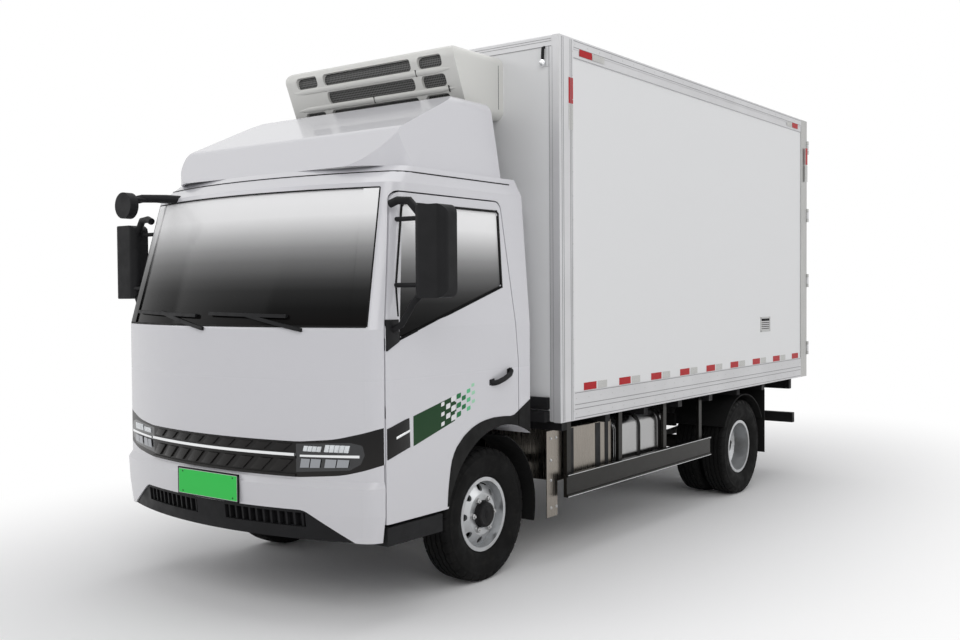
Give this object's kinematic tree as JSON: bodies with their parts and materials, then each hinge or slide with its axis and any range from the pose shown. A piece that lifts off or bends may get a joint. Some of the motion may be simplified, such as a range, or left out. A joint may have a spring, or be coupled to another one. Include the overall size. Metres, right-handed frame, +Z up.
{
  "type": "refrigerated truck",
  "caption": "Small refrigerated truck with a tilting cab-over cab, a roof fairing, a nose-mounted cooling unit and an insulated white box body with rear doors.",
  "frame": {"origin": "on the ground under the middle of the overall length and width", "axes": "+Z up, the front faces -Y, +X towards the driver's side (the truck's left)"},
  "size_m": [2.68, 5.995, 3.224],
  "materials": {
    "cab_paint": "gloss",
    "box_white": "gloss",
    "profile": "satin",
    "frame_black": "satin",
    "cast": "matte",
    "wheel_silver": "satin",
    "tyre": "matte",
    "black_plastic": "matte",
    "dark_gloss": "gloss",
    "lamp": "gloss",
    "pane": "gloss",
    "stainless": "satin",
    "tank_metal": "satin",
    "unit_white": "gloss",
    "seat_cloth": "matte",
    "floor": "satin"
  },
  "bodies": {
    "chassis": {"ladder_frame": "frame_black", "tow_eye": "frame_black", "front_axle": "cast", "rear_axle": "cast", "equipment_box": "stainless", "fuel_tank": "tank_metal", "battery_pack": "frame_black", "side_guards": "profile", "mudguards": "black_plastic", "rear_underrun": "frame_black", "tail_lamps": "frame_black", "box_subframe": "frame_black", "box_floor": "floor", "box_roof": "box_white", "box_left_wall": "box_white", "box_right_wall": "box_white", "box_front_wall": "box_white", "box_frame": "profile", "rear_portal": "stainless", "cooling_unit": "unit_white", "cooling_grille": "dark_gloss", "evaporator": "unit_white"},
    "cab": {"cab_shell": "cab_paint", "windscreen": "pane", "front_bumper": "cab_paint", "front_grilles": "black_plastic", "headlamps": "lamp", "nose_panel": "dark_gloss", "roof_fairing": "cab_paint", "front_mirror": "black_plastic", "wipers": "black_plastic", "dashboard": "black_plastic", "seats": "seat_cloth", "cab_steps": "black_plastic"},
    "cab_door_left": {"door_left": "cab_paint", "door_glass_left": "pane", "mirror_left": "black_plastic"},
    "cab_door_right": {"door_right": "cab_paint", "door_glass_right": "pane", "mirror_right": "black_plastic"},
    "steering_left": {"knuckle_left": "cast"},
    "steering_right": {"knuckle_right": "cast"},
    "track_rod": {"tie_rod": "frame_black"},
    "wheel_front_left": {"front_left_rim": "wheel_silver", "front_left_tyre": "tyre"},
    "wheel_front_right": {"front_right_rim": "wheel_silver", "front_right_tyre": "tyre"},
    "wheel_rear_left": {"rear_left_rims": "wheel_silver", "rear_left_tyres": "tyre"},
    "wheel_rear_right": {"rear_right_rims": "wheel_silver", "rear_right_tyres": "tyre"},
    "rear_door_left": {"cargo_door_left": "box_white"},
    "rear_door_right": {"cargo_door_right": "box_white"}
  },
  "joints": [
    {"name": "cab_tilt", "type": "hinge", "parent": "chassis", "child": "cab", "pos_m": [0, -2.7675, 0.6], "axis": [1, 0, 0], "range_deg": [0, 45]},
    {"name": "door_left_hinge", "type": "hinge", "parent": "cab", "child": "cab_door_left", "pos_m": [1.022, -2.6745, 1.2], "axis": [0, 0, -1], "range_deg": [0, 70]},
    {"name": "door_right_hinge", "type": "hinge", "parent": "cab", "child": "cab_door_right", "pos_m": [-1.022, -2.6745, 1.2], "axis": [0, 0, 1], "range_deg": [0, 70]},
    {"name": "steer_left", "type": "hinge", "parent": "chassis", "child": "steering_left", "pos_m": [0.69, -1.7075, 0.388], "axis": [0, 0, 1], "range_deg": [-35, 35]},
    {"name": "steer_right", "type": "hinge", "parent": "chassis", "child": "steering_right", "pos_m": [-0.69, -1.7075, 0.388], "axis": [0, 0, 1], "range_deg": [-35, 35]},
    {"name": "track_rod_pivot", "type": "hinge", "parent": "steering_left", "child": "track_rod", "pos_m": [0.69, -1.5425, 0.26], "axis": [0, 0, 1], "range_deg": [-35, 35]},
    {"name": "wheel_front_left_spin", "type": "hinge", "parent": "steering_left", "child": "wheel_front_left", "pos_m": [0.81, -1.7075, 0.388], "axis": [1, 0, 0], "continuous": true},
    {"name": "wheel_front_right_spin", "type": "hinge", "parent": "steering_right", "child": "wheel_front_right", "pos_m": [-0.81, -1.7075, 0.388], "axis": [1, 0, 0], "continuous": true},
    {"name": "wheel_rear_left_spin", "type": "hinge", "parent": "chassis", "child": "wheel_rear_left", "pos_m": [0.837, 1.6525, 0.388], "axis": [1, 0, 0], "continuous": true},
    {"name": "wheel_rear_right_spin", "type": "hinge", "parent": "chassis", "child": "wheel_rear_right", "pos_m": [-0.837, 1.6525, 0.388], "axis": [1, 0, 0], "continuous": true},
    {"name": "rear_door_left_hinge", "type": "hinge", "parent": "chassis", "child": "rear_door_left", "pos_m": [1.128, 2.9865, 2], "axis": [0, 0, -1], "range_deg": [0, 260]},
    {"name": "rear_door_right_hinge", "type": "hinge", "parent": "chassis", "child": "rear_door_right", "pos_m": [-1.128, 2.9865, 2], "axis": [0, 0, 1], "range_deg": [0, 260]}
  ],
  "couplings": [
    {"joint": "steer_right", "follows": "steer_left", "ratio": 1},
    {"joint": "track_rod_pivot", "follows": "steer_left", "ratio": -1}
  ]
}
